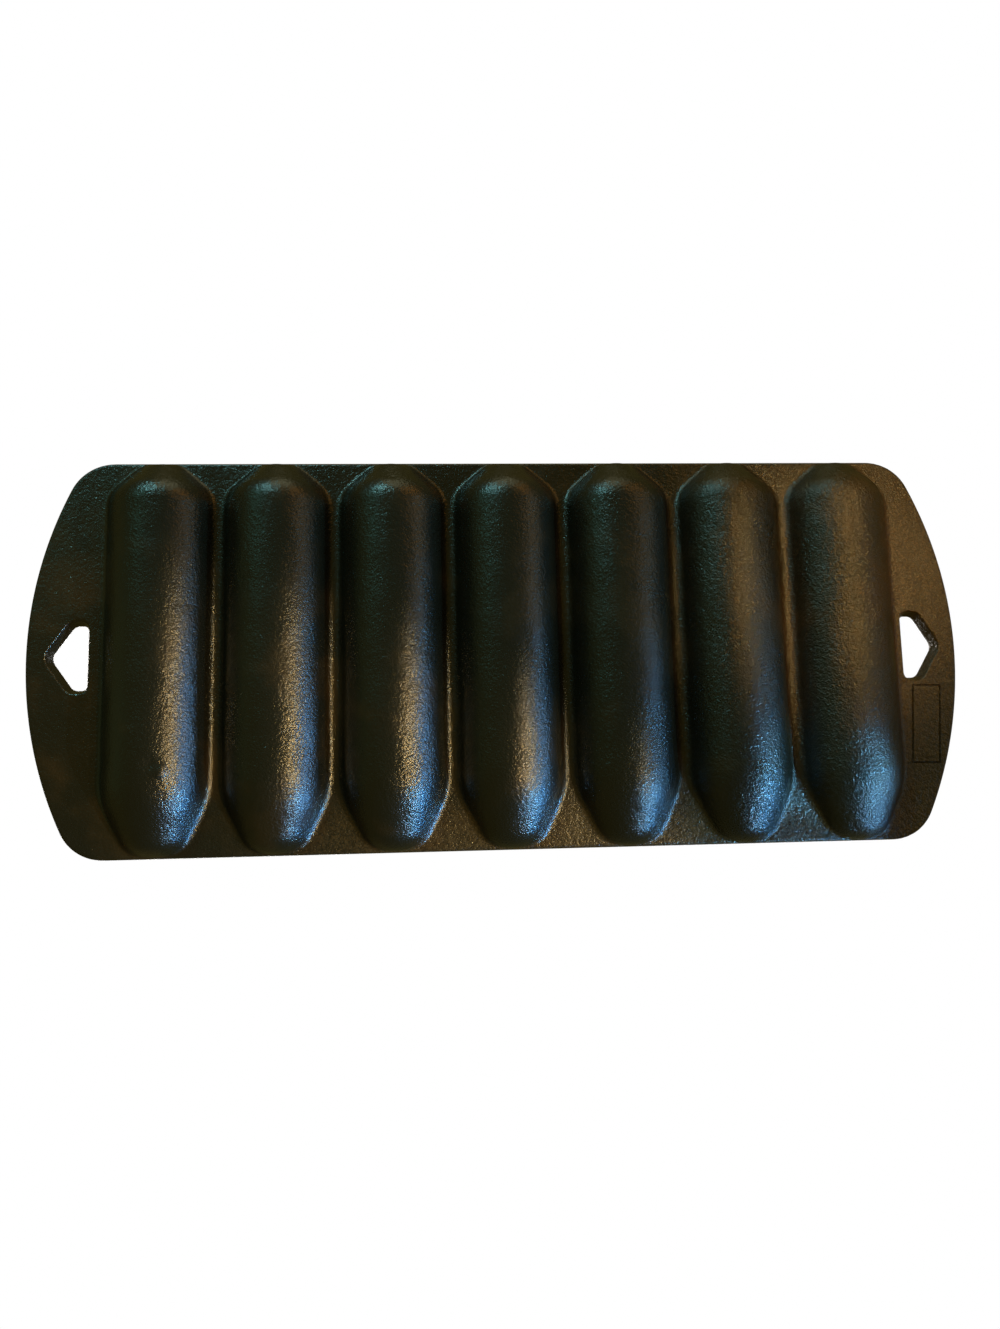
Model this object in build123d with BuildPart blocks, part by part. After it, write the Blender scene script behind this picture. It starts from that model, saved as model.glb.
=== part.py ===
from build123d import *
import os
from math import atan, atan2, cos, degrees, radians, sin, sqrt, tan

# Corn stick pan: one casting of a plate with seven ear-shaped moulds and a holed handle at each end.
# Millimetres, +Z up, the moulds open upwards, and the origin under the middle of the pan,
# level with the crowns of the seven lobes that it stands on.

# Plate and its two handles
plate_thickness = 5.0
left_handle_width = 26.7
right_handle_width = 22.8
end_bow = 20.04
corner_radius = 18.0
rim_round = 1.2

# Ear moulds: each ear turns about its own long axis, which lies in the top face of the plate
ear_count = 7
ear_length = 150.4
ear_radius = 20.4
ear_wall = 4.2
ear_gap = 3.7
ear_end_gap = 0.6
foot_round = 2.3

# Blunt butt end of an ear, at -Y
butt_turn_run = 12.5
butt_end_radius = 8.2
butt_turn_round = 12.0
butt_end_round = 6.0

# Tapered tip of an ear, at +Y
tip_turn_run = 22.0
tip_end_radius = 11.0
tip_turn_round = 36.0
tip_end_round = 11.0

# Kernel hollows inside an ear, in rows from rim to rim
kernel_rows = 7
body_kernels = 12
tip_kernels = 2
kernel_depth = 1.7
kernel_slope_run = 1.4
kernel_overlap = 0.3
kernel_root = 1.4
core_inset = 0.7

# Hang hole in each handle, widest at the underside
hole_tip_gap = 5.9
left_hole_web = 3.3
right_hole_web = 0.9
hole_height = 28.0
hole_flat = 7.5
hole_inner_round = 3.5
hole_outer_round = 5.0
hole_tip_round = 6.0
hole_draft_inset = 2.0

# How far cuts and trims run past the metal
overrun = 5.0

# Shares of the sizes that they follow
valley_share = 0.96
butt_kernel_share = 0.55
tip_kernel_share = 0.77

# Sizes and levels that follow
ear_pitch = 2 * ear_radius + ear_gap
pan_length = ear_count * ear_pitch + left_handle_width + right_handle_width
pan_width = ear_length + 2 * ear_end_gap
top_level = ear_radius
underside_level = top_level - plate_thickness
row_middle = (left_handle_width - right_handle_width) / 2
foot_half_width = sqrt(ear_radius ** 2 - plate_thickness ** 2)
valley_room = valley_share * (ear_pitch / 2 - foot_half_width)
ear_axis = Axis((0, 0, top_level), (0, 1, 0))
hole_draft = degrees(atan(hole_draft_inset / plate_thickness))

# Kernel grid: places along the ear where its inside turns in, and the angles that it turns by
groove_radius = ear_radius - ear_wall
butt_fall = ear_radius - butt_end_radius
tip_fall = ear_radius - tip_end_radius
butt_angle = atan2(butt_fall, butt_turn_run)
tip_angle = atan2(tip_fall, tip_turn_run)
butt_cell = butt_kernel_share * sqrt(butt_turn_run ** 2 + butt_fall ** 2)
tip_cell = tip_kernel_share * sqrt(tip_turn_run ** 2 + tip_fall ** 2) / tip_kernels
butt_groove_turn = ear_wall * tan(butt_angle / 2) + butt_turn_run - ear_length / 2
tip_groove_turn = ear_length / 2 - tip_turn_run - ear_wall * tan(tip_angle / 2)
kernel_pitch = (tip_groove_turn - butt_groove_turn) / body_kernels
row_angle = 180 / (kernel_rows - 1)


def pan_outline():
    """Plan of the plate: straight long sides, bowed ends and rounded corners."""
    half_width = pan_width / 2
    corner_x = pan_length / 2 - end_bow
    with BuildSketch() as outline:
        with BuildLine():
            Line((-corner_x, half_width), (corner_x, half_width))
            ThreePointArc((corner_x, half_width), (pan_length / 2, 0), (corner_x, -half_width))
            Line((corner_x, -half_width), (-corner_x, -half_width))
            ThreePointArc((-corner_x, -half_width), (-pan_length / 2, 0), (-corner_x, half_width))
        make_face()
        fillet(outline.vertices(), corner_radius)
    return outline.sketch


def lobe_half_profile():
    """Half of a lobe's lengthwise section, on the +X side of its ear's axis."""
    half_length = ear_length / 2
    butt_turn = half_length - butt_turn_run
    tip_turn = half_length - tip_turn_run
    with BuildSketch() as section:
        with BuildLine():
            Polyline(
                (butt_end_radius, -half_length),
                (ear_radius, -butt_turn),
                (ear_radius, tip_turn),
                (tip_end_radius, half_length),
                (-tip_end_radius, half_length),
                (-ear_radius, tip_turn),
                (-ear_radius, -butt_turn),
                (-butt_end_radius, -half_length),
                close=True,
            )
        make_face()
        fillet(section.vertices().group_by(Axis.Y)[3], tip_end_round)
        fillet(section.vertices().group_by(Axis.Y)[2], tip_turn_round)
        fillet(section.vertices().group_by(Axis.Y)[1], butt_turn_round)
        fillet(section.vertices().group_by(Axis.Y)[0], butt_end_round)
        with Locations((ear_radius, 0)):
            Rectangle(2 * ear_radius, ear_length, mode=Mode.INTERSECT)
    return section.sketch


def core_half_profile():
    """Half of the smooth space that the kernels stand on, on the +X side of its ear's axis."""
    core_end = ear_length / 2 - ear_wall
    core_radius = groove_radius - core_inset
    butt_slope_end = core_radius - (core_end + butt_groove_turn) * tan(butt_angle)
    tip_slope_end = core_radius - (core_end - tip_groove_turn) * tan(tip_angle)
    with BuildSketch() as section:
        with BuildLine():
            Polyline(
                (0, -core_end),
                (butt_slope_end, -core_end),
                (core_radius, butt_groove_turn),
                (core_radius, tip_groove_turn),
                (tip_slope_end, core_end),
                (0, core_end),
                close=True,
            )
        make_face()
    return section.sketch


def kernel_stations():
    """Ends of the kernels in a row, from butt to tip, as (place along the ear, groove radius)."""
    stations = [
        (butt_groove_turn - butt_cell * cos(butt_angle), groove_radius - butt_cell * sin(butt_angle))
    ]
    for step in range(body_kernels + 1):
        stations.append((butt_groove_turn + kernel_pitch * step, groove_radius))
    for step in range(1, tip_kernels + 1):
        slope = tip_cell * step
        place = tip_groove_turn + slope * cos(tip_angle)
        stations.append((place, groove_radius - slope * sin(tip_angle)))
    return stations


def kernel_lump(row, start, end):
    """One kernel on its seat between two stations: a flat crown with four sloping sides."""
    turn = radians(row_angle * row)
    half_row = radians(row_angle / 2)
    outward = Vector(cos(turn), 0, -sin(turn))
    across = Vector(sin(turn), 0, cos(turn))
    low = Vector(0, start[0], top_level) + outward * (start[1] * cos(half_row))
    high = Vector(0, end[0], top_level) + outward * (end[1] * cos(half_row))
    along = (high - low).normalized()
    half_length = (high - low).length / 2
    start_half = start[1] * sin(half_row)
    end_half = end[1] * sin(half_row)
    seat = Plane(origin=(low + high) / 2, x_dir=along, z_dir=along.cross(across))
    side_run = kernel_slope_run + kernel_overlap
    side_drop = side_run * kernel_depth / kernel_slope_run
    with BuildPart() as lump:
        with BuildSketch(seat.offset(-kernel_root)):
            Polygon(
                (-half_length, -start_half),
                (half_length, -end_half),
                (half_length, end_half),
                (-half_length, start_half),
                align=None,
            )
            offset(amount=kernel_overlap, kind=Kind.INTERSECTION)
        extrude(amount=kernel_root + kernel_depth)
        crown = lump.faces().sort_by(Axis(seat.origin, seat.z_dir))[-1]
        chamfer(crown.edges(), side_run, side_drop, reference=crown)
    return lump.part


# Envelope of the whole plan, deep enough to hold the lobes, with its top edge rounded
with BuildPart() as envelope:
    with BuildSketch(Plane.XY.offset(-overrun)):
        add(pan_outline())
    extrude(amount=top_level + overrun)
    fillet(envelope.edges().group_by(Axis.Z)[-1], rim_round)


def end_handle(width, hole_web):
    """Handle of this width at the +X end, with a drafted hang hole this far from the moulds."""
    root = pan_length / 2 - width
    hole_tip = pan_length / 2 - hole_tip_gap
    hole_inner = root + hole_web
    hole_half = hole_height / 2
    with BuildPart() as handle:
        with BuildSketch(Plane.XY.offset(underside_level)):
            with Locations((root, 0)):
                Rectangle(width, pan_width, align=(Align.MIN, Align.CENTER))
        extrude(amount=plate_thickness)
        add(envelope.part, mode=Mode.INTERSECT)
        with BuildSketch(Plane.XY.offset(underside_level)) as hole:
            with BuildLine():
                Polyline(
                    (hole_inner, -hole_half),
                    (hole_inner + hole_flat, -hole_half),
                    (hole_tip, 0),
                    (hole_inner + hole_flat, hole_half),
                    (hole_inner, hole_half),
                    close=True,
                )
            make_face()
            fillet(hole.vertices().group_by(Axis.X)[2], hole_tip_round)
            fillet(hole.vertices().group_by(Axis.X)[1], hole_outer_round)
            fillet(hole.vertices().group_by(Axis.X)[0], hole_inner_round)
        extrude(amount=plate_thickness, taper=hole_draft, mode=Mode.SUBTRACT)
    return handle.part


# Every kernel of one ear
kernels = []
stations = kernel_stations()
for row in range(kernel_rows):
    for start, end in zip(stations, stations[1:]):
        kernels.append(kernel_lump(row, start, end))

# Space inside one ear: a smooth core under a coat of kernels
with BuildPart() as ear_space:
    with BuildSketch(Plane.XY.offset(top_level)):
        add(core_half_profile())
    revolve(axis=ear_axis)
    add(kernels)

# One mould on an over-long strip of plate: lobe below, rounded foot and hollow ear
with BuildPart() as ear_block:
    with BuildSketch(Plane.XY.offset(underside_level)):
        Rectangle(ear_pitch, pan_width + 2 * overrun)
    extrude(amount=plate_thickness)
    with BuildSketch(Plane.XY.offset(top_level)):
        add(lobe_half_profile())
    revolve(axis=ear_axis, revolution_arc=180)
    underside = ear_block.faces().filter_by(Plane.XY).sort_by(Axis.Z)[0]
    fillet(underside.inner_wires()[0].edges(), min(foot_round, valley_room))
    add(ear_space.part, mode=Mode.SUBTRACT)

os.makedirs("parts", exist_ok=True)

# The seven moulds, side by side, each trimmed to the plan of the pan
for ear_number in range(1, ear_count + 1):
    ear_x = row_middle + ear_pitch * (ear_number - (ear_count + 1) / 2)
    with BuildPart() as mould:
        with Locations((ear_x, 0, 0)):
            add(ear_block.part)
        add(envelope.part, mode=Mode.INTERSECT)
    mould.part.label = f"corn_mould_{ear_number}"
    export_step(mould.part, f"parts/corn_mould_{ear_number}.step")

# The two handles, each at its own end of the row
right_handle = end_handle(right_handle_width, right_hole_web)
right_handle.label = "right_handle"
export_step(right_handle, "parts/right_handle.step")

left_handle = mirror(end_handle(left_handle_width, left_hole_web), about=Plane.YZ)
left_handle.label = "left_handle"
export_step(left_handle, "parts/left_handle.step")
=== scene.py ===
import logging
import math
from collections.abc import Sequence
from dataclasses import dataclass
from enum import Enum
from typing import NamedTuple

import bmesh
import bpy
from mathutils import Euler, Matrix, Vector, noise


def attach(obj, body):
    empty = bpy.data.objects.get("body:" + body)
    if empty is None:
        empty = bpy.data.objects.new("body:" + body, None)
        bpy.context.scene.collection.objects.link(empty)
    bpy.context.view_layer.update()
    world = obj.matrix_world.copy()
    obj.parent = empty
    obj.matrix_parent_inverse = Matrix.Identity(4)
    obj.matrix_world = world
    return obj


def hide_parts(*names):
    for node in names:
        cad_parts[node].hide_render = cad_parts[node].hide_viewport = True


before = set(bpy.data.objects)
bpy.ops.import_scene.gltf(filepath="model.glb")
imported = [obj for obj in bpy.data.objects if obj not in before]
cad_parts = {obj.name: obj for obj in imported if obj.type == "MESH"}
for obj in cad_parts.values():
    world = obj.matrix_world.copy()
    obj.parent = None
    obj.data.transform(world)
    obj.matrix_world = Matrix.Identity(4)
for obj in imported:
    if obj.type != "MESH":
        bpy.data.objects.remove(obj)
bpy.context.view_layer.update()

# Corn stick pan: one iron casting of seven ear-shaped moulds in a plate with a holed handle at each end.
# Sizes are in millimetres until a piece is finished, when its mesh is brought to metres. They are the
# solids' sizes, apart from the lobes' foot and the kernels' height, which suit softer forms.

log = logging.getLogger("corn_stick_pan")

MM = 0.001  # metres in a millimetre
TINY = 1e-6  # the least length and angle that count
WELD = 0.001  # the distance within which vertices become one
SHARP_ANGLE = 58.0  # the turn, in degrees, from which an edge stays sharp

Path = list[tuple[float, float]]
Band = tuple[float, float]
Triple = tuple[float, float, float]


def eased(value: float, low: float, high: float) -> float:
    """Ease from 0 to 1 as a value goes from low to high.

    Args:
        value: The value that is looked at.
        low: Where the easing starts.
        high: Where the easing ends.

    Returns:
        0 below low, 1 above high and a smooth step between.
    """
    share = min(1.0, max(0.0, (value - low) / (high - low)))
    return share * share * (3 - 2 * share)


def rounded_path(
    points: Sequence[tuple[float, float]], radii: Sequence[float], step: float, turn: float
) -> Path:
    """Follow an open path whose corners are rounded.

    Args:
        points: Corners of the path, with its two ends.
        radii: Radius at each point, 0 for a corner that stays sharp.
        step: Longest run between two places on a straight stretch.
        turn: Largest turn between two places on a rounded corner, in degrees.

    Returns:
        Places along the path, from its first point to its last.
    """
    corners = [Vector(p) for p in points]
    places: list[Vector] = [corners[0]]
    for before, corner, after, radius in zip(corners, corners[1:], corners[2:], radii[1:]):
        into = (corner - before).normalized()
        out = (after - corner).normalized()
        angle = math.atan2(into.x * out.y - into.y * out.x, into.dot(out))
        if radius <= 0 or abs(angle) < TINY:
            places.append(corner)
            continue
        reach = radius * math.tan(abs(angle) / 2)
        side = math.copysign(1.0, angle)
        centre = corner - into * reach + Vector((-into.y, into.x)) * radius * side
        arm = (corner - into * reach) - centre
        count = max(2, math.ceil(math.degrees(abs(angle)) / turn))
        for index in range(count + 1):
            turned = angle * index / count
            cos_t, sin_t = math.cos(turned), math.sin(turned)
            places.append(centre + Vector((arm.x * cos_t - arm.y * sin_t, arm.x * sin_t + arm.y * cos_t)))
    places.append(corners[-1])
    path: Path = [tuple(places[0])]
    for start, end in zip(places, places[1:]):
        run = (end - start).length
        if run < TINY:
            continue
        count = max(1, math.ceil(run / step))
        for index in range(1, count + 1):
            path.append(tuple(start.lerp(end, index / count)))
    return path


def lay_sheet(bm: bmesh.types.BMesh, rows: Sequence[Sequence[Vector]]) -> list[list[bmesh.types.BMVert]]:
    """Lay a grid over rows of places.

    Args:
        bm: Mesh that the sheet goes into.
        rows: Places of the sheet, with as many in each row.

    Returns:
        The sheet's vertices, row by row.
    """
    width = len(rows[0])
    made = bmesh.ops.create_grid(bm, x_segments=width - 1, y_segments=len(rows) - 1, size=1.0)["verts"]
    ordered = sorted(made, key=lambda v: (round(v.co.y, 6), round(v.co.x, 6)))
    sheet = [ordered[index * width:(index + 1) * width] for index in range(len(rows))]
    for verts, places in zip(sheet, rows):
        for vert, place in zip(verts, places):
            vert.co = place
    return sheet


def edges_along(verts: Sequence[bmesh.types.BMVert]) -> list[bmesh.types.BMEdge]:
    """Find the edges that join a line of vertices.

    Args:
        verts: The vertices, in their order along the line.

    Returns:
        The edges between neighbours that have one.
    """
    found = []
    for start, end in zip(verts, verts[1:]):
        edge = next((e for e in start.link_edges if e.other_vert(start) is end), None)
        if edge:
            found.append(edge)
    return found


@dataclass(frozen=True)
class PlateSizes:
    """Plan and section of the plate that carries the moulds, with heights above the lobes' crowns."""

    length: float = 361.0
    width: float = 151.6
    thickness: float = 5.0
    top: float = 20.4
    mould_count: int = 7
    left_handle: float = 26.7
    right_handle: float = 22.8
    end_bow: float = 20.04
    corner_round: float = 18.0
    edge_round: float = 1.2
    edge_border: float = 0.3
    arc_steps: int = 6

    @property
    def underside(self) -> float:
        """Height of the plate's underside."""
        return self.top - self.thickness

    @property
    def row_middle(self) -> float:
        """X of the middle of the row of moulds."""
        return (self.left_handle - self.right_handle) / 2

    @property
    def bow_radius(self) -> float:
        """Radius of the bowed ends."""
        half = self.width / 2
        return (half * half + self.end_bow * self.end_bow) / (2 * self.end_bow)

    @property
    def bow_centre(self) -> float:
        """Distance of a bowed end's centre from the middle."""
        return self.length / 2 - self.bow_radius

    @property
    def corner_y(self) -> float:
        """Y of the centre of a rounded corner."""
        return self.width / 2 - self.corner_round

    @property
    def corner_x(self) -> float:
        """X of the centre of a rounded corner."""
        reach = self.bow_radius - self.corner_round
        return self.bow_centre + math.sqrt(reach * reach - self.corner_y * self.corner_y)

    def root(self, side: int) -> float:
        """Find where a handle starts.

        Args:
            side: 1 for the right handle, -1 for the left one.

        Returns:
            Distance of its root from the middle of the plate.
        """
        return self.length / 2 - (self.right_handle if side > 0 else self.left_handle)

    def half_width(self, x: float, inset: float) -> float:
        """Find half the plate's width at a place along it.

        Args:
            x: The place.
            inset: How far inside the edge to measure.

        Returns:
            Half the width there, less the inset.
        """
        past = abs(x) - self.corner_x
        if past <= 0:
            return self.width / 2 - inset
        radius = self.corner_round - inset
        return self.corner_y + math.sqrt(radius * radius - past * past)

    def edge_section(self) -> Path:
        """Section round the plate's edge, from underside to top, as inset and height."""
        r = self.edge_round
        section: Path = [(r + self.edge_border, self.underside)]
        for level, sign in ((self.underside + r, 1), (self.top - r, -1)):
            for index in range(self.arc_steps + 1):
                part = index if sign > 0 else self.arc_steps - index
                angle = math.pi / 2 * part / self.arc_steps
                section.append((r - r * math.sin(angle), level - sign * r * math.cos(angle)))
        section.append((r + self.edge_border, self.top))
        return section

    def underside_at(self, y: float) -> float:
        """Find the height of the underside, which rounds up to the plate's long edges.

        Args:
            y: Place across the plate.

        Returns:
            The height there.
        """
        past = abs(y) - (self.width / 2 - self.edge_round)
        if past <= 0:
            return self.underside
        r = self.edge_round
        return self.underside + r - math.sqrt(max(0.0, r * r - past * past))


class Grain(Enum):
    """How coarse the sand of the mould was in a region of the casting."""

    FINE = 0.70
    COARSE = 1.55


class Wire:
    """A node's output that takes part in plain arithmetic."""

    def __init__(self, graph: "Graph", socket: bpy.types.NodeSocket) -> None:
        """Hold the graph and the socket."""
        self.graph = graph
        self.socket = socket

    def _math(self, operation: str, first: "Wire | float", second: "Wire | float") -> "Wire":
        """Add one Math node."""
        return self.graph.node("ShaderNodeMath", {"operation": operation}, {0: first, 1: second})

    def __add__(self, other: "Wire | float") -> "Wire":
        """Add."""
        return self._math("ADD", self, other)

    def __radd__(self, other: float) -> "Wire":
        """Add to a number."""
        return self._math("ADD", other, self)

    def __sub__(self, other: "Wire | float") -> "Wire":
        """Subtract."""
        return self._math("SUBTRACT", self, other)

    def __rsub__(self, other: float) -> "Wire":
        """Subtract from a number."""
        return self._math("SUBTRACT", other, self)

    def __mul__(self, other: "Wire | float") -> "Wire":
        """Multiply."""
        return self._math("MULTIPLY", self, other)

    def __rmul__(self, other: float) -> "Wire":
        """Multiply a number."""
        return self._math("MULTIPLY", other, self)

    def eased(self, low: float, high: float) -> "Wire":
        """Ease from 0 to 1 between two values."""
        settings = {"interpolation_type": "SMOOTHSTEP"}
        inputs = {"Value": self, "From Min": low, "From Max": high}
        return self.graph.node("ShaderNodeMapRange", settings, inputs)


class Graph:
    """A material's node tree, emptied and ready for new nodes."""

    def __init__(self, name: str) -> None:
        """Make a material and clear its nodes."""
        self.material = bpy.data.materials.new(name)
        self.material.use_nodes = True
        self.tree = self.material.node_tree
        self.tree.nodes.clear()

    def node(self, kind: str, settings: dict[str, object] | None = None,
             inputs: dict[str | int, object] | None = None, output: str | int = 0) -> Wire:
        """Add one node.

        Args:
            kind: The node's type.
            settings: Properties that are set before its sockets.
            inputs: Values or wires for its sockets, by name or number.
            output: Which output the wire comes from.

        Returns:
            A wire from that output.
        """
        made = self.tree.nodes.new(kind)
        for key, value in (settings or {}).items():
            setattr(made, key, value)
        for key, value in (inputs or {}).items():
            socket = made.inputs[key]
            if isinstance(value, Wire):
                self.tree.links.new(value.socket, socket)
            else:
                socket.default_value = value
        return Wire(self, made.outputs[output])

    def surface(self, shader: Wire) -> bpy.types.Material:
        """Send a shader to the material's output and give the material back."""
        out = self.tree.nodes.new("ShaderNodeOutputMaterial")
        self.tree.links.new(shader.socket, out.inputs["Surface"])
        return self.material

    def mixed(self, share: Wire | float, first: Wire | Triple, second: Wire | Triple) -> Wire:
        """Mix two colours.

        Args:
            share: How much of the second colour there is.
            first: The first colour.
            second: The second colour.

        Returns:
            The mixed colour.
        """
        colours = [c if isinstance(c, Wire) else (*c, 1.0) for c in (first, second)]
        return self.node("ShaderNodeMix", {"data_type": "RGBA"}, {0: share, 6: colours[0], 7: colours[1]}, 2)

    def cloud(self, place: Wire, size: float, detail: float = 2.0, rough: float = 0.5) -> Wire:
        """Make noise.

        Args:
            place: Coordinates that it is read at.
            size: About how large its lumps are, in millimetres.
            detail: How many finer layers it has.
            rough: How strong the finer layers are.

        Returns:
            The noise, from 0 to 1.
        """
        values = {"Vector": place, "Scale": 1 / (size * MM), "Detail": detail, "Roughness": rough}
        return self.node("ShaderNodeTexNoise", {}, values)


@dataclass(frozen=True)
class SeasonedIron:
    """Cast iron under a baked oil coat: near-black, brown where it is rubbed, with a sand-cast grain, and
    painted warm reflection in brown and tan at the right end.

    Sizes of the grain are in millimetres, and its heights in millimetres of bump. Bands on x, y and z
    are places on the pan in metres, and the other bands are levels of noise, or of rubbing and painted
    reflection.
    """

    # Colours and sheen
    black: Triple = (0.0078, 0.0070, 0.0036)
    brown: Triple = (0.034, 0.018, 0.0058)
    tan: Triple = (0.115, 0.064, 0.020)
    sheen_rough: float = 0.26
    dull_rough: float = 0.40
    refraction: float = 1.62
    # Sand grain
    grain_size: float = 0.66
    pebble_size: float = 1.5
    patch_size: float = 34.0
    swell_size: float = 16.0
    grain_height: float = 0.26
    pebble_height: float = 0.15
    swell_height: float = 0.30
    # Regions
    coarse_x: Band = (0.0, 0.165)
    # warm_x: the right end, where warm reflection is painted into the colour and the sheen is duller
    warm_x: Band = (0.105, 0.165)
    plate_z: Band = (0.0132, 0.0150)
    tips_x: Band = (-0.12, -0.02)
    tips_y: Band = (0.050, 0.070)
    patch_band: Band = (0.45, 0.68)
    # Wear and painted warm reflection to brown, and the share of each region
    worn_and_lit_band: Band = (0.1, 0.95)
    plate_wear: float = 0.25
    # share of painted warm reflection at the right end, as brown
    warm_painted_light: float = 0.62
    patch_wear: float = 0.5
    tips_wear: float = 0.45
    least_brown: float = 0.6
    grain_brown: float = 0.8
    # Tan crests of the grain, at the tips, and at the right end as painted glints of warm light
    tips_grain: Band = (0.4, 0.7)
    warm_glint_band: Band = (0.45, 0.70)
    tips_tan: float = 0.7
    # share of painted tan glints of warm light on the grain at the right end
    warm_painted_glint: float = 0.8
    # Loss of sheen
    dull_band: Band = (0.2, 1.1)
    patch_dull: float = 0.5
    grain_dull: float = 0.35
    warm_dull: float = 0.3

    def material(self) -> bpy.types.Material:
        """Build the nodes.

        Returns:
            The material, on Object coordinates.
        """
        g = Graph("seasoned_iron")
        place = g.node("ShaderNodeTexCoord", {}, {}, "Object")
        x, y, z = (g.node("ShaderNodeSeparateXYZ", {}, {0: place}, axis) for axis in "XYZ")
        patch = g.cloud(place, self.patch_size, detail=3.0, rough=0.6)
        grain = g.cloud(place, self.grain_size, detail=2.0, rough=0.55)
        cells = {"Vector": place, "Scale": 1 / (self.pebble_size * MM), "Smoothness": 0.6}
        pebble = g.node("ShaderNodeTexVoronoi", {"feature": "SMOOTH_F1"}, cells)
        # Where the casting is coarser, the right end where warm reflection is painted into the colour, and
        # the strips of plate between the tips
        coarse = x.eased(*self.coarse_x)
        warm = x.eased(*self.warm_x)
        plate = z.eased(*self.plate_z)
        tips = y.eased(*self.tips_y) * x.eased(*self.tips_x) * plate
        # Black, rubbed to brown, and to tan on the crests of the grain; at the right end the brown and tan
        # are painted warm reflection
        patchy = patch.eased(*self.patch_band) * self.patch_wear
        # brown from wear on the plate, in patches and at the tips, and painted warm reflection at the right
        # end
        wear_and_light = plate * self.plate_wear + warm * self.warm_painted_light + patchy + tips * self.tips_wear
        worn_and_lit = wear_and_light * (self.least_brown + grain * self.grain_brown)
        body = g.mixed(worn_and_lit.eased(*self.worn_and_lit_band), self.black, self.brown)
        tips_crests = tips * grain.eased(*self.tips_grain) * self.tips_tan
        # painted tan glints of warm light on the grain's crests at the right end
        warm_painted_glints = warm * grain.eased(*self.warm_glint_band) * plate * self.warm_painted_glint
        colour = g.mixed(tips_crests + warm_painted_glints, body, self.tan)
        dull = patch * self.patch_dull + grain * self.grain_dull + warm * self.warm_dull
        rough = self.sheen_rough + dull.eased(*self.dull_band) * (self.dull_rough - self.sheen_rough)
        swell = g.cloud(place, self.swell_size, detail=1.0) * self.swell_height
        rise = Grain.FINE.value + coarse * (Grain.COARSE.value - Grain.FINE.value)
        height = (grain * self.grain_height + (1 - pebble) * self.pebble_height) * rise + swell
        bump = g.node("ShaderNodeBump", {}, {"Strength": 1.0, "Distance": MM, "Height": height})
        shader = g.node("ShaderNodeBsdfPrincipled", {}, {
            "Base Color": colour, "Roughness": rough, "Normal": bump, "IOR": self.refraction, "Metallic": 0.0,
        })
        return g.surface(shader)


@dataclass
class Casting:
    """What the moulds and the handles share: the plate, the iron and the way a piece is finished."""

    plate: PlateSizes
    iron: bpy.types.Material

    def finish(self, bm: bmesh.types.BMesh, node: str) -> bpy.types.Object:
        """Weld, orient and shade a mesh, and make it the piece that stands for a solid.

        Args:
            bm: The closed mesh, in millimetres.
            node: Name of the solid that it replaces.

        Returns:
            The finished piece.
        """
        bmesh.ops.remove_doubles(bm, verts=bm.verts, dist=WELD)
        bmesh.ops.recalc_face_normals(bm, faces=bm.faces)
        for face in bm.faces:
            face.smooth = True
        for edge in bm.edges:
            edge.smooth = len(edge.link_faces) == 2 and edge.calc_face_angle() < math.radians(SHARP_ANGLE)
        bmesh.ops.scale(bm, vec=(MM, MM, MM), verts=bm.verts)
        mesh = bpy.data.meshes.new(f"iron_{node}")
        bm.to_mesh(mesh)
        bm.free()
        piece = bpy.data.objects.new(f"iron_{node}", mesh)
        bpy.context.scene.collection.objects.link(piece)
        mesh.materials.append(self.iron)
        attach(piece, "root")
        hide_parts(node)
        log.info("%s: %d faces", piece.name, len(mesh.polygons))
        return piece


@dataclass(frozen=True)
class Blemish:
    """A small bump or pit that the casting has, such as a grain of sand left behind.

    It lies at x and y on the underside, is size wide from its middle, and stands out by rise, or is
    sunk where rise is below 0.
    """

    x: float
    y: float
    size: float
    rise: float

    def moved(self, place: Vector, normal: Vector) -> Vector:
        """Lift or sink a place of the skin that lies near the mark, though never past the crowns' level.

        Args:
            place: The place.
            normal: The skin's outward normal there.

        Returns:
            The place where the mark brings it.
        """
        far = math.hypot(place.x - self.x, place.y - self.y) / self.size
        moved = place + normal * self.rise * math.exp(-far * far)
        return Vector((moved.x, moved.y, max(0.0, moved.z)))


# Marks of the casting, by the number of the mould that bears them
MARKS = {
    1: (Blemish(-125.6, 44.0, 2.1, 0.85), Blemish(-129.4, 40.6, 2.4, -0.45)),
    3: (Blemish(-41.4, -65.9, 0.9, -0.3), Blemish(-43.6, -66.5, 0.7, -0.2)),
}


class Rib(NamedTuple):
    """One place on the lengthwise section of an ear's inside."""

    y: float
    radius: float
    along: float
    outward: float
    rise: float


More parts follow.
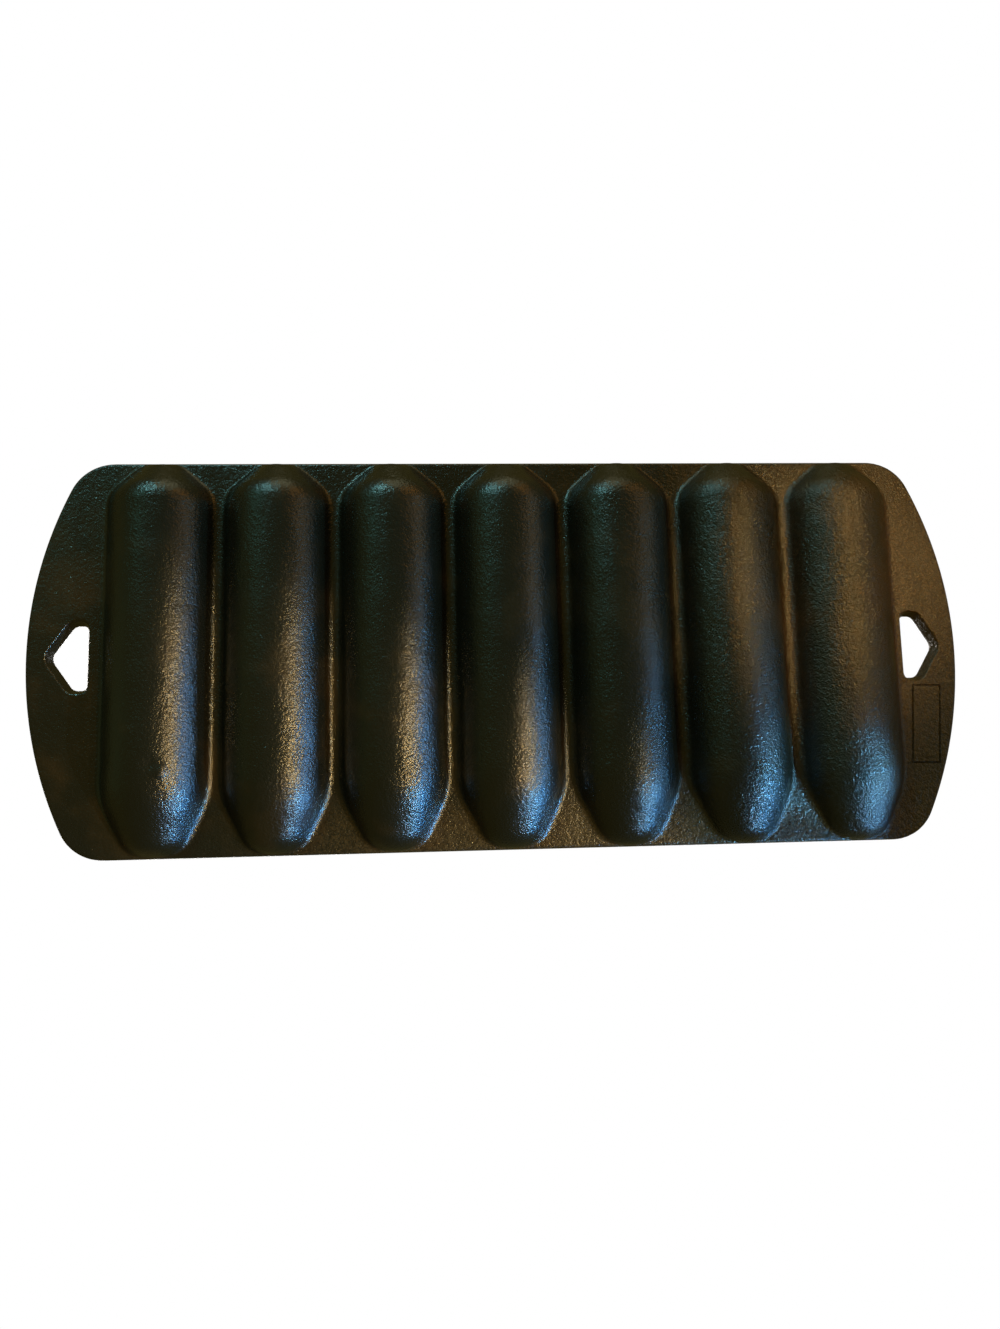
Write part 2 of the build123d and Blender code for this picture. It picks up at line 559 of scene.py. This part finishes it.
@dataclass
class EarMould(Casting):
    """One ear-shaped mould with its strip of plate.

    The underside is one sheet of rows across the ear, and the ear's inside another. The plate's top
    and the two seams with the neighbours close the piece.
    """

    # The ear and its lobe, with the blunt butt at -Y and the tapered tip at +Y
    pitch: float = 44.5
    length: float = 150.4
    radius: float = 20.4
    wall: float = 4.2
    foot_round: float = 3.2
    butt_run: float = 12.5
    butt_radius: float = 8.2
    butt_turn_round: float = 12.0
    butt_end_round: float = 6.0
    tip_run: float = 22.0
    tip_radius: float = 11.0
    tip_turn_round: float = 36.0
    tip_end_round: float = 11.0
    end_lean: float = 0.15
    least_rise: float = 0.25
    path_step: float = 1.2
    path_turn: float = 4.0
    # Kernels, whose rows run from rim to rim
    kernel_rows: int = 7
    body_kernels: int = 12
    butt_kernel_share: float = 0.55
    tip_kernels: int = 2
    tip_kernel_share: float = 0.77
    kernel_depth: float = 1.25
    kernel_steps: int = 12
    pillow_run: float = 0.62
    pillow_sag: float = 0.1
    rim_angles: tuple[float, ...] = (0.0, 0.35, 0.9, 1.8, 3.0, 4.6, 6.4, 8.3, 10.4, 12.7)
    # The flat ends of the inside, and the lip and mouth in the plate's top
    end_round: float = 1.6
    end_step: float = 1.1
    end_turn: float = 14.0
    lip_round: float = 0.8
    lip_border: float = 0.25
    mouth_half: float = 19.6
    mouth_end: float = 2.0
    mouth_depth: float = 0.01
    # The underside's sheet, and how it follows the plate's edge and rounded corners
    arc_columns: int = 28
    foot_columns: int = 6
    flat_columns: int = 8
    rim_share: float = 1.5
    rim_clear: float = 0.1
    trim_hold: float = 3.0
    trim_end: float = 20.0
    # Unevenness of the lobes
    swell: float = 0.36
    swell_size: float = 17.0
    swell_shift: Triple = (3.7, 1.3, 8.1)
    ripple_share: float = 0.38
    ripple_shift: Triple = (9.2, 5.5, 2.4)
    mean_depth: float = 0.5
    swell_depth: float = 0.62
    ripple_depth: float = 0.25
    swell_columns: int = 3
    swell_rise: float = 3.0

    def lobe_rows(self) -> Path:
        """Lengthwise section of the lobe, from butt to tip, as place along the ear and radius."""
        half = self.length / 2
        lean = self.end_lean
        points = [
            (-half - lean / 2, 0.0), (-half + lean, self.butt_radius), (-half + self.butt_run, self.radius),
            (half - self.tip_run, self.radius), (half - lean, self.tip_radius), (half + lean / 2, 0.0),
        ]
        radii = [0.0, self.butt_end_round, self.butt_turn_round, self.tip_turn_round, self.tip_end_round, 0.0]
        path = rounded_path(points, radii, self.path_step, self.path_turn)
        least = self.radius + self.least_rise
        return [(y, r) for y, r in path if r > least - self.plate.underside_at(y)]

    def skin_row(self, y: float, level: float, radius: float) -> list[Vector]:
        """Places across the underside at one place along the ear.

        Args:
            y: Place along the ear.
            level: Height of the plate's underside there.
            radius: Radius of the lobe there.

        Returns:
            Places from the left seam to the right one.
        """
        top, foot = self.plate.top, self.foot_round
        drop = top - level
        foot_x = math.sqrt((radius + foot) ** 2 - (drop + foot) ** 2)
        lean = math.atan2(foot_x, drop + foot)
        half: list[tuple[float, float]] = []
        for index in range(self.arc_columns):
            angle = lean * index / self.arc_columns
            half.append((radius * math.sin(angle), top - radius * math.cos(angle)))
        for index in range(self.foot_columns):
            angle = lean * (1 - index / self.foot_columns)
            half.append((foot_x - foot * math.sin(angle), level - foot + foot * math.cos(angle)))
        for index in range(self.flat_columns + 1):
            half.append((foot_x + (self.pitch / 2 - foot_x) * index / self.flat_columns, level))
        right = [Vector((x, y, z)) for x, z in half]
        left = [Vector((-x, y, z)) for x, z in half[:0:-1]]
        return left + right

    def skin_rows(self) -> list[list[Vector]]:
        """Rows of the outer skin, from the top at the butt, round the underside, to the top at the tip."""
        lobe = [self.skin_row(y, self.plate.underside_at(y), r) for y, r in self.lobe_rows()]
        edge = self.plate.edge_section()
        half = self.plate.width / 2
        upper = self.plate.top - self.rim_share * self.plate.edge_round
        rows = []
        for end, near in ((-1, lobe[0]), (1, lobe[-1])):
            past = half - abs(near[0].y) - self.rim_clear
            ring = [(i, z) for i, z in edge[1:] if z > upper or i < past]
            rows.append([[Vector((p.x, end * (half - i), z)) for p in near] for i, z in ring])
        return rows[0][::-1] + lobe + rows[1]

    def trimmed(self, place: Vector) -> Vector:
        """Bring a place near the pan's corners in to the plate's rounded plan.

        Args:
            place: The place.

        Returns:
            The place, moved towards the middle by less the further in it lies.
        """
        inset = self.plate.width / 2 - abs(place.y)
        held = min(inset, self.trim_hold)
        shift = self.plate.width / 2 - held - self.plate.half_width(place.x, held)
        fade = 1 - eased(inset, self.trim_hold, self.trim_end)
        return Vector((place.x, place.y - math.copysign(shift * fade, place.y), place.z))

    def swollen(self, place: Vector, normal: Vector, share: float) -> Vector:
        """Let the sand's unevenness in by a little, inwards only.

        Args:
            place: The place.
            normal: The skin's outward normal there.
            share: How much of the unevenness there is, from 0 to 1.

        Returns:
            The place where the unevenness brings it.
        """
        wave = noise.noise(place / self.swell_size + Vector(self.swell_shift))
        ripple = noise.noise(place / (self.swell_size * self.ripple_share) + Vector(self.ripple_shift))
        depth = self.mean_depth + self.swell_depth * wave + self.ripple_depth * ripple
        return place - normal * (self.swell * share * min(1.0, max(0.0, depth)))

    def space_path(self) -> list[Rib]:
        """Lengthwise section of the ear's inside.

        Returns:
            For each place its y and radius, its normal's parts along the ear and away from the ear's
            axis, and the kernel's rise there.
        """
        groove = self.radius - self.wall
        half = self.length / 2
        butt_angle = math.atan2(self.radius - self.butt_radius, self.butt_run)
        tip_angle = math.atan2(self.radius - self.tip_radius, self.tip_run)
        butt_turn = self.wall * math.tan(butt_angle / 2) + self.butt_run - half
        tip_turn = half - self.tip_run - self.wall * math.tan(tip_angle / 2)
        pitch = (tip_turn - butt_turn) / self.body_kernels
        butt_cell = self.butt_kernel_share * math.hypot(self.butt_run, self.radius - self.butt_radius)
        tip_slope = math.hypot(self.tip_run, self.radius - self.tip_radius)
        tip_cell = self.tip_kernel_share * tip_slope / self.tip_kernels
        stations = [(butt_turn - butt_cell * math.cos(butt_angle), groove - butt_cell * math.sin(butt_angle))]
        stations += [(butt_turn + pitch * index, groove) for index in range(self.body_kernels + 1)]
        for index in range(1, self.tip_kernels + 1):
            slope = tip_cell * index
            stations.append((tip_turn + slope * math.cos(tip_angle), groove - slope * math.sin(tip_angle)))
        ribs = []
        for start, end in zip(stations, stations[1:]):
            run = Vector(end) - Vector(start)
            normal = Vector((-run.y, run.x)).normalized()
            for index in range(self.kernel_steps):
                along = index / self.kernel_steps
                y, r = Vector(start) + run * along
                ribs.append(Rib(y, r, normal.x, normal.y, self.pillow(2 * along - 1)))
        last = stations[-1]
        ribs.append(Rib(*last, math.sin(tip_angle), math.cos(tip_angle), 0.0))
        end_y = half - self.wall
        for end in (-1, 1):
            edge = stations[0] if end < 0 else last
            angle = butt_angle if end < 0 else tip_angle
            rim = edge[1] - (end_y - abs(edge[0])) * math.tan(angle)
            corners = [edge, (end * end_y, rim), (end * end_y, 0.0)]
            path = rounded_path(corners, [0.0, self.end_round, 0.0], self.end_step, self.end_turn)
            closing = []
            for before, here in zip(path, path[1:]):
                run = (Vector(here) - Vector(before)).normalized() * end
                closing.append(Rib(*here, -run.y, run.x, 0.0))
            closing[-1] = Rib(end * end_y, 0.0, float(end), 0.0, 0.0)
            ribs = closing[::-1] + ribs if end < 0 else ribs + closing
        return ribs

    def pillow(self, share: float) -> float:
        """Find how far a kernel rises at a place across its cell.

        Args:
            share: The place, from -1 to 1.

        Returns:
            The rise, from 0 in the groove to 1 on the kernel's middle.
        """
        return eased(1 - abs(share), 0.0, self.pillow_run) * (1 - self.pillow_sag * share * share)

    def space_angles(self) -> list[tuple[float, float]]:
        """Angles from rim to rim with the kernel's rise at each."""
        row = 180 / (self.kernel_rows - 1)
        first = [(angle, self.pillow(2 * angle / row)) for angle in self.rim_angles]
        middle = []
        for index in range(1, self.kernel_rows - 1):
            for step in range(self.kernel_steps):
                share = step / self.kernel_steps
                middle.append((row * (index - 0.5 + share), self.pillow(2 * share - 1)))
        last = [(180 - angle, rise) for angle, rise in [(row / 2, 0.0)] + first[::-1]]
        return first + middle + last

    def space_rows(self) -> list[list[Vector]]:
        """Rows of the ear's inside, with its rounded lip and a narrow border on the plate's top."""
        lip, top = self.lip_round, self.plate.top
        rows = []
        for y, radius, along, outward, rise in self.space_path():
            row = []
            for angle, swell in self.space_angles():
                turn = math.radians(angle)
                depth = self.kernel_depth * rise * swell
                r = radius + outward * depth
                fall = r * math.sin(turn)
                flare = lip - math.sqrt(lip * lip - (lip - fall) ** 2) if fall < lip else 0.0
                reach = r + outward * flare
                row.append(Vector((-math.cos(turn) * reach, y + along * (depth + flare), top - fall)))
            edge = Vector((outward, along, 0)) * self.lip_border
            row.insert(0, row[0] + Vector((-edge.x, edge.y, 0)))
            row.append(row[-1] + Vector((edge.x, edge.y, 0)))
            rows.append(row)
        return rows

    def shape_skin(self, skin: Sequence[Sequence[bmesh.types.BMVert]], centre: float,
                   marks: Sequence[Blemish]) -> None:
        """Bring the underside to its place in the row, trimmed, slightly uneven and with its marks.

        Args:
            skin: The underside's vertices, row by row, with normals up to date.
            centre: X of the ear's axis.
            marks: Bumps and pits of the casting that lie on it.
        """
        middle = len(skin[0]) // 2
        # The sheet's own normals may face inwards, and the noise works along the outward ones
        outward = -1.0 if skin[len(skin) // 2][middle].normal.z > 0 else 1.0
        moves = []
        for row in skin:
            for column, vert in enumerate(row):
                past = abs(column - middle) - self.arc_columns
                share = 1 - eased(past, -self.swell_columns, self.foot_columns)
                low = eased(self.plate.underside - vert.co.z, 0.0, self.swell_rise)
                here = vert.co + Vector((centre, 0, 0))
                normal = vert.normal * outward
                place = self.trimmed(self.swollen(here, normal, share * low))
                for mark in marks:
                    place = mark.moved(place, normal)
                moves.append((vert, place))
        for vert, place in moves:
            vert.co = place

    def at_mouth(self, place: Vector, centre: float) -> bool:
        """Tell whether a place is on the border of the ear's mouth.

        Args:
            place: A place on the edge of a sheet.
            centre: X of the ear's axis.

        Returns:
            Whether it lies in the plate's top and away from the plate's own edge.
        """
        inside = abs(place.x - centre) < self.mouth_half and abs(place.y) < self.length / 2 - self.mouth_end
        return inside and place.z > self.plate.top - self.mouth_depth

    def build(self, number: int, centre: float, marks: Sequence[Blemish]) -> bpy.types.Object:
        """Build one mould.

        Args:
            number: Its number from the left.
            centre: X of its ear's axis.
            marks: Bumps and pits of the casting that lie on it.

        Returns:
            The finished piece.
        """
        bm = bmesh.new()
        skin = lay_sheet(bm, self.skin_rows())
        bm.normal_update()
        self.shape_skin(skin, centre, marks)
        space = lay_sheet(bm, self.space_rows())
        for row in space:
            for vert in row:
                vert.co.x += centre
        bmesh.ops.remove_doubles(bm, verts=[v for row in space for v in row], dist=WELD)
        borders = [edge for edge in bm.edges if edge.is_boundary]
        mouth = [edge for edge in borders if all(self.at_mouth(v.co, centre) for v in edge.verts)]
        seams = [bm.edges.new((skin[0][column], skin[-1][column])) for column in (0, -1)]
        ends = edges_along(skin[0]) + edges_along(skin[-1])
        bmesh.ops.triangle_fill(bm, use_beauty=True, use_dissolve=False, edges=mouth + seams + ends)
        for column, seam in zip((0, -1), seams):
            border = edges_along([row[column] for row in skin])
            bmesh.ops.edgeloop_fill(bm, edges=border + [seam])
        return self.finish(bm, f"corn_mould_{number}")


@dataclass
class Handle(Casting):
    """A bowed handle at the end of the plate, with its drafted hang hole.

    Its edge and its hole are one sheet each, and fans of triangles close the top and the underside.
    """

    # Hang hole, widest at the underside, with its tip towards the pan's end
    tip_gap: float = 5.9
    left_web: float = 3.3
    right_web: float = 0.9
    height: float = 28.0
    flat: float = 7.5
    inner_round: float = 3.5
    outer_round: float = 5.0
    tip_round: float = 6.0
    draft_inset: float = 2.0
    hole_edge_round: float = 0.8
    hole_border: float = 0.7
    wall_step: float = 1.3
    wall_turn: float = 18.0
    # Edge
    corner_steps: int = 16
    bow_steps: int = 60
    # Bare insert in the right handle, and the groove round it
    insert_corners: tuple[tuple[float, float], ...] = (
        (161.6, 15.5), (173.2, 15.7), (170.7, 46.6), (159.2, 46.4),
    )
    groove_depth: float = 0.35
    groove_side: float = 0.3
    groove_slope: float = 0.2
    groove_floor: float = 0.25

    def outline(self, side: int, inset: float) -> Path:
        """Plan a handle's edge, as if it stood on the right.

        Args:
            side: 1 for the right handle, -1 for the left one.
            inset: How far inside the edge to run.

        Returns:
            Places from root to root.
        """
        plate = self.plate
        small = plate.corner_round - inset
        meet = math.atan2(plate.corner_y, plate.corner_x - plate.bow_centre)
        root = math.acos((plate.root(side) - plate.corner_x) / small)
        points: Path = []
        for index in range(self.corner_steps):
            angle = root + (meet - root) * index / self.corner_steps
            x = plate.corner_x + small * math.cos(angle)
            points.append((x, plate.corner_y + small * math.sin(angle)))
        for index in range(self.bow_steps + 1):
            angle = meet * (1 - 2 * index / self.bow_steps)
            large = plate.bow_radius - inset
            points.append((plate.bow_centre + large * math.cos(angle), large * math.sin(angle)))
        points += [(x, -y) for x, y in points[self.corner_steps - 1::-1]]
        return points

    def hole_outline(self, side: int, inset: float) -> Path:
        """Plan a handle's hang hole, as if it stood on the right.

        Args:
            side: 1 for the right handle, -1 for the left one.
            inset: How far towards the hole's middle to run.

        Returns:
            Places round the hole.
        """
        tip = self.plate.length / 2 - self.tip_gap
        inner = self.plate.root(side) + (self.right_web if side > 0 else self.left_web)
        half = self.height / 2
        corners = [
            ((inner, -half), self.inner_round), ((inner + self.flat, -half), self.outer_round),
            ((tip, 0.0), self.tip_round), ((inner + self.flat, half), self.outer_round),
            ((inner, half), self.inner_round),
        ]
        points: Path = []
        for index, (corner, radius) in enumerate(corners):
            here = Vector(corner)
            into = (here - Vector(corners[index - 1][0])).normalized()
            out = (Vector(corners[(index + 1) % len(corners)][0]) - here).normalized()
            angle = math.atan2(into.x * out.y - into.y * out.x, into.dot(out))
            centre = here - into * radius * math.tan(angle / 2) + Vector((-into.y, into.x)) * radius
            start = math.atan2(-into.x, into.y)
            reach = radius - inset
            for step in range(self.corner_steps // 2 + 1):
                turned = start + angle * step / (self.corner_steps // 2)
                points.append((centre.x + reach * math.cos(turned), centre.y + reach * math.sin(turned)))
        return points

    def hole_section(self) -> Path:
        """Section of the hole's wall from underside to top, as inset and height."""
        r, plate = self.hole_edge_round, self.plate
        points = [(-self.hole_border, plate.underside), (0.0, plate.underside), (self.draft_inset, plate.top),
                  (-2 * r + self.draft_inset, plate.top)]
        return rounded_path(points, [0.0, r, r, 0.0], self.wall_step, self.wall_turn)

    def lay_insert(self, bm: bmesh.types.BMesh) -> list[bmesh.types.BMEdge]:
        """Lay the bare insert in the right handle's underside, with the narrow groove round it.

        Args:
            bm: Mesh that the insert goes into.

        Returns:
            The edges round it.
        """
        insert = bm.faces.new([bm.verts.new((x, y, self.plate.underside)) for x, y in self.insert_corners])
        insert.normal_update()
        border = list(insert.edges)
        side, slope, deep = self.groove_side, self.groove_slope, self.groove_depth
        insets = ((side, 0.0), (slope, deep), (self.groove_floor, 0.0), (slope, -deep), (side, 0.0))
        for inset, rise in insets:
            bmesh.ops.inset_individual(bm, faces=[insert], thickness=inset, depth=rise)
        return border

    def build(self, side: int) -> bpy.types.Object:
        """Build one handle.

        Args:
            side: 1 for the right handle, -1 for the left one.

        Returns:
            The finished piece.
        """
        bm = bmesh.new()
        edge = lay_sheet(bm, [[Vector((x * side, y, z)) for x, y in self.outline(side, inset)]
                              for inset, z in self.plate.edge_section()])
        rows = []
        for inset, z in self.hole_section():
            ring = self.hole_outline(side, inset)
            rows.append([Vector((x * side, y, z)) for x, y in ring + ring[:1]])
        hole = lay_sheet(bm, rows)
        wall = [bm.edges.new((row[0], row[-1])) for row in (edge[0], edge[-1])]
        insert = self.lay_insert(bm) if side > 0 else []
        for index, seam in zip((0, -1), wall):
            loops = edges_along(edge[index]) + [seam] + edges_along(hole[index])
            loops += insert if index == 0 else []
            bmesh.ops.triangle_fill(bm, use_beauty=True, use_dissolve=False, edges=loops)
        sides = [edges_along([row[column] for row in edge]) for column in (0, -1)]
        bmesh.ops.edgeloop_fill(bm, edges=sides[0] + sides[1] + wall)
        return self.finish(bm, "right_handle" if side > 0 else "left_handle")


class Beam(Enum):
    """How a lamp throws its light."""

    PANEL = "AREA"
    SPOT = "SPOT"


@dataclass(frozen=True)
class Lamp:
    """One soft studio lamp that faces the pan: a lit panel, or a round head with a narrow beam.

    Places and sizes are in metres, the power in watts and a beam's spread in degrees.
    """

    name: str
    beam: Beam
    place: Triple
    aim: Triple
    power: float
    colour: Triple
    size: float
    spread: float = 0.0
    softness: float = 0.4

    def hang(self) -> None:
        """Hang the lamp."""
        light = bpy.data.lights.new(self.name, self.beam.value)
        light.energy = self.power
        light.color = self.colour
        if self.beam is Beam.SPOT:
            light.shadow_soft_size = self.size
            light.spot_size = math.radians(self.spread)
            light.spot_blend = self.softness
        else:
            light.shape = "DISK"
            light.size = self.size
        lamp = bpy.data.objects.new(self.name, light)
        look = (Vector(self.aim) - Vector(self.place)).to_track_quat("-Z", "Y").to_matrix().to_4x4()
        lamp.matrix_world = Matrix.Translation(self.place) @ look
        lamp.visible_camera = False
        bpy.context.scene.collection.objects.link(lamp)


# The studio's lamps: those below face the underside, and the last two light the side with the moulds
LAMPS = (
    Lamp("warm_left", Beam.SPOT, (0.659, 0.125, -0.995), (-0.155, 0.2, 0.0), 23.0, (1.0, 0.62, 0.2),
         0.02, 21.0, 0.15),
    Lamp("white_left", Beam.SPOT, (0.799, 0.125, -0.887), (-0.155, 0.2, 0.0), 12.0, (1.0, 0.92, 0.6),
         0.015, 21.0, 0.15),
    Lamp("orange_right", Beam.SPOT, (0.204, -0.249, -1.156), (0.135, -0.03, 0.0), 13.0, (1.0, 0.36, 0.05),
         0.02, 6.5, 0.8),
    Lamp("warm_right", Beam.SPOT, (0.477, -0.249, -1.072), (0.135, -0.03, 0.0), 19.0, (1.0, 0.74, 0.3),
         0.02, 6.5, 0.8),
    Lamp("cool_wide", Beam.SPOT, (1.11, 0.084, -0.448), (-0.12, 0.03, 0.0), 3.0, (0.26, 0.72, 1.0),
         0.06, 20.0, 1.0),
    Lamp("cool_beam", Beam.SPOT, (1.118, 0.084, -0.429), (-0.14, 0.085, 0.0), 20.0, (0.1, 0.42, 1.0),
         0.04, 10.0, 0.6),
    Lamp("cool_low", Beam.SPOT, (0.853, 0.696, -0.554), (-0.021, 0.050, -0.044), 36.0, (0.22, 0.63, 1.0),
         0.006, 14.7, 0.05),
    Lamp("deep_low", Beam.SPOT, (0.999, 0.66, -0.286), (-0.008, 0.039, -0.073), 24.0, (0.06, 0.38, 1.0),
         0.006, 13.3, 0.05),
    Lamp("cool_right", Beam.SPOT, (0.853, 0.696, -0.554), (0.119, 0.049, 0.004), 17.0, (0.22, 0.64, 1.0),
         0.006, 2.2, 0.1),
    Lamp("cool_upper", Beam.SPOT, (0.939, 0.209, -0.752), (0.119, 0.049, 0.004), 46.0, (0.20, 0.63, 1.0),
         0.006, 2.0, 0.3),
    Lamp("pale_low", Beam.SPOT, (0.704, 0.831, -0.591), (-0.010, 0.051, -0.023), 9.0, (0.45, 0.62, 1.0),
         0.006, 13.9, 0.05),
    Lamp("amber_side", Beam.PANEL, (0.814, -0.342, -0.47), (0.0, 0.0, 0.0), 0.4, (1.0, 0.7, 0.4), 0.3),
    Lamp("teal_left", Beam.PANEL, (-0.663, -0.5, -0.557), (0.0, -0.05, 0.0), 0.26, (0.27, 1.0, 0.8), 0.25),
    Lamp("pale_high", Beam.PANEL, (-0.378, -0.766, -0.52), (0.0, -0.05, 0.0), 2.1, (0.36, 0.95, 1.0), 0.1),
    Lamp("amber_high", Beam.PANEL, (0.5, -0.707, -0.5), (0.0, -0.05, 0.0), 0.65, (1.0, 0.42, 0.08), 0.25),
    Lamp("front_fill", Beam.PANEL, (0.0, -0.966, -0.259), (0.0, 0.0, 0.0), 1.0, (1.0, 0.94, 0.56), 0.6),
    Lamp("left_fill", Beam.PANEL, (-0.985, 0.0, -0.174), (0.0, 0.0, 0.0), 0.06, (0.3, 1.0, 0.6), 0.6),
    Lamp("top_key", Beam.PANEL, (-0.5, 0.0, 1.7), (0.0, 0.0, 0.0), 30.0, (1.0, 0.93, 0.86), 1.0),
    Lamp("top_fill", Beam.PANEL, (0.7, 0.0, 1.6), (0.0, 0.0, 0.0), 14.0, (0.90, 0.95, 1.0), 1.0),
)


@dataclass
class Studio:
    """Floor, lamps, white surroundings and the camera under the pan, in metres."""

    camera_place: Triple = (-0.02415, 0.05257, -0.34821)
    camera_turn: Triple = (-math.pi + 0.13080, 0.05890, 0.02280)
    lens: float = 25.73
    sensor: float = 36.0
    nearest: float = 0.01
    dim_colour: Triple = (1.0, 0.82, 0.20)
    dim_strength: float = 0.105
    floor_size: float = 6.0
    floor_colour: Triple = (0.78, 0.79, 0.80)
    floor_fade: Band = (0.35, 1.8)
    lamps: tuple[Lamp, ...] = LAMPS

    def set_camera(self) -> None:
        """Put the camera where the photograph was taken from."""
        data = bpy.data.cameras.new("camera")
        data.lens = self.lens
        data.sensor_width = self.sensor
        data.clip_start = self.nearest
        camera = bpy.data.objects.new("camera", data)
        camera.location = self.camera_place
        camera.rotation_euler = Euler(self.camera_turn, "XYZ")
        bpy.context.scene.collection.objects.link(camera)
        bpy.context.scene.camera = camera

    def set_surroundings(self) -> None:
        """Make the surroundings white to the camera and dim to everything else."""
        scene = bpy.context.scene
        scene.view_settings.view_transform = "Standard"
        world = bpy.data.worlds.new("surroundings")
        world.use_nodes = True
        scene.world = world
        tree = world.node_tree
        tree.nodes.clear()
        dim = tree.nodes.new("ShaderNodeBackground")
        dim.inputs["Color"].default_value = (*self.dim_colour, 1.0)
        dim.inputs["Strength"].default_value = self.dim_strength
        white = tree.nodes.new("ShaderNodeBackground")
        white.inputs["Color"].default_value = (1.0, 1.0, 1.0, 1.0)
        white.inputs["Strength"].default_value = 1.0
        path = tree.nodes.new("ShaderNodeLightPath")
        mix = tree.nodes.new("ShaderNodeMixShader")
        out = tree.nodes.new("ShaderNodeOutputWorld")
        tree.links.new(path.outputs["Is Camera Ray"], mix.inputs[0])
        tree.links.new(dim.outputs[0], mix.inputs[1])
        tree.links.new(white.outputs[0], mix.inputs[2])
        tree.links.new(mix.outputs[0], out.inputs["Surface"])

    def lay_floor(self) -> None:
        """Lay the pale floor, which is open from below and fades into the white surroundings."""
        g = Graph("pale_floor")
        back = g.node("ShaderNodeNewGeometry", {}, {}, "Backfacing")
        place = g.node("ShaderNodeTexCoord", {}, {}, "Object")
        distance = g.node("ShaderNodeVectorMath", {"operation": "LENGTH"}, {0: place}, "Value")
        far = distance.eased(*self.floor_fade)
        matt = g.node("ShaderNodeBsdfDiffuse", {}, {"Color": (*self.floor_colour, 1.0)})
        clear = g.node("ShaderNodeBsdfTransparent")
        both = g.node("ShaderNodeMixShader", {}, {0: back + far, 1: matt, 2: clear})
        material = g.surface(both)
        bm = bmesh.new()
        bmesh.ops.create_grid(bm, x_segments=1, y_segments=1, size=self.floor_size / 2)
        mesh = bpy.data.meshes.new("floor")
        bm.to_mesh(mesh)
        bm.free()
        floor = bpy.data.objects.new("floor", mesh)
        bpy.context.scene.collection.objects.link(floor)
        mesh.materials.append(material)
        floor.visible_shadow = False
        floor.visible_glossy = False
        floor.visible_diffuse = False

    def build(self) -> None:
        """Set everything round the pan."""
        self.set_camera()
        self.set_surroundings()
        self.lay_floor()
        for lamp in self.lamps:
            lamp.hang()
        log.info("studio: %d lamps", len(self.lamps))


def main() -> None:
    """Build the studio, the seven moulds and the two handles."""
    logging.basicConfig(level=logging.INFO, format="%(name)s %(message)s")
    Studio().build()
    plate = PlateSizes()
    iron = SeasonedIron().material()
    mould = EarMould(plate, iron)
    for number in range(1, plate.mould_count + 1):
        centre = plate.row_middle + mould.pitch * (number - (plate.mould_count + 1) / 2)
        mould.build(number, centre, MARKS.get(number, ()))
    handle = Handle(plate, iron)
    for side in (-1, 1):
        handle.build(side)


if __name__ == "__main__":
    main()
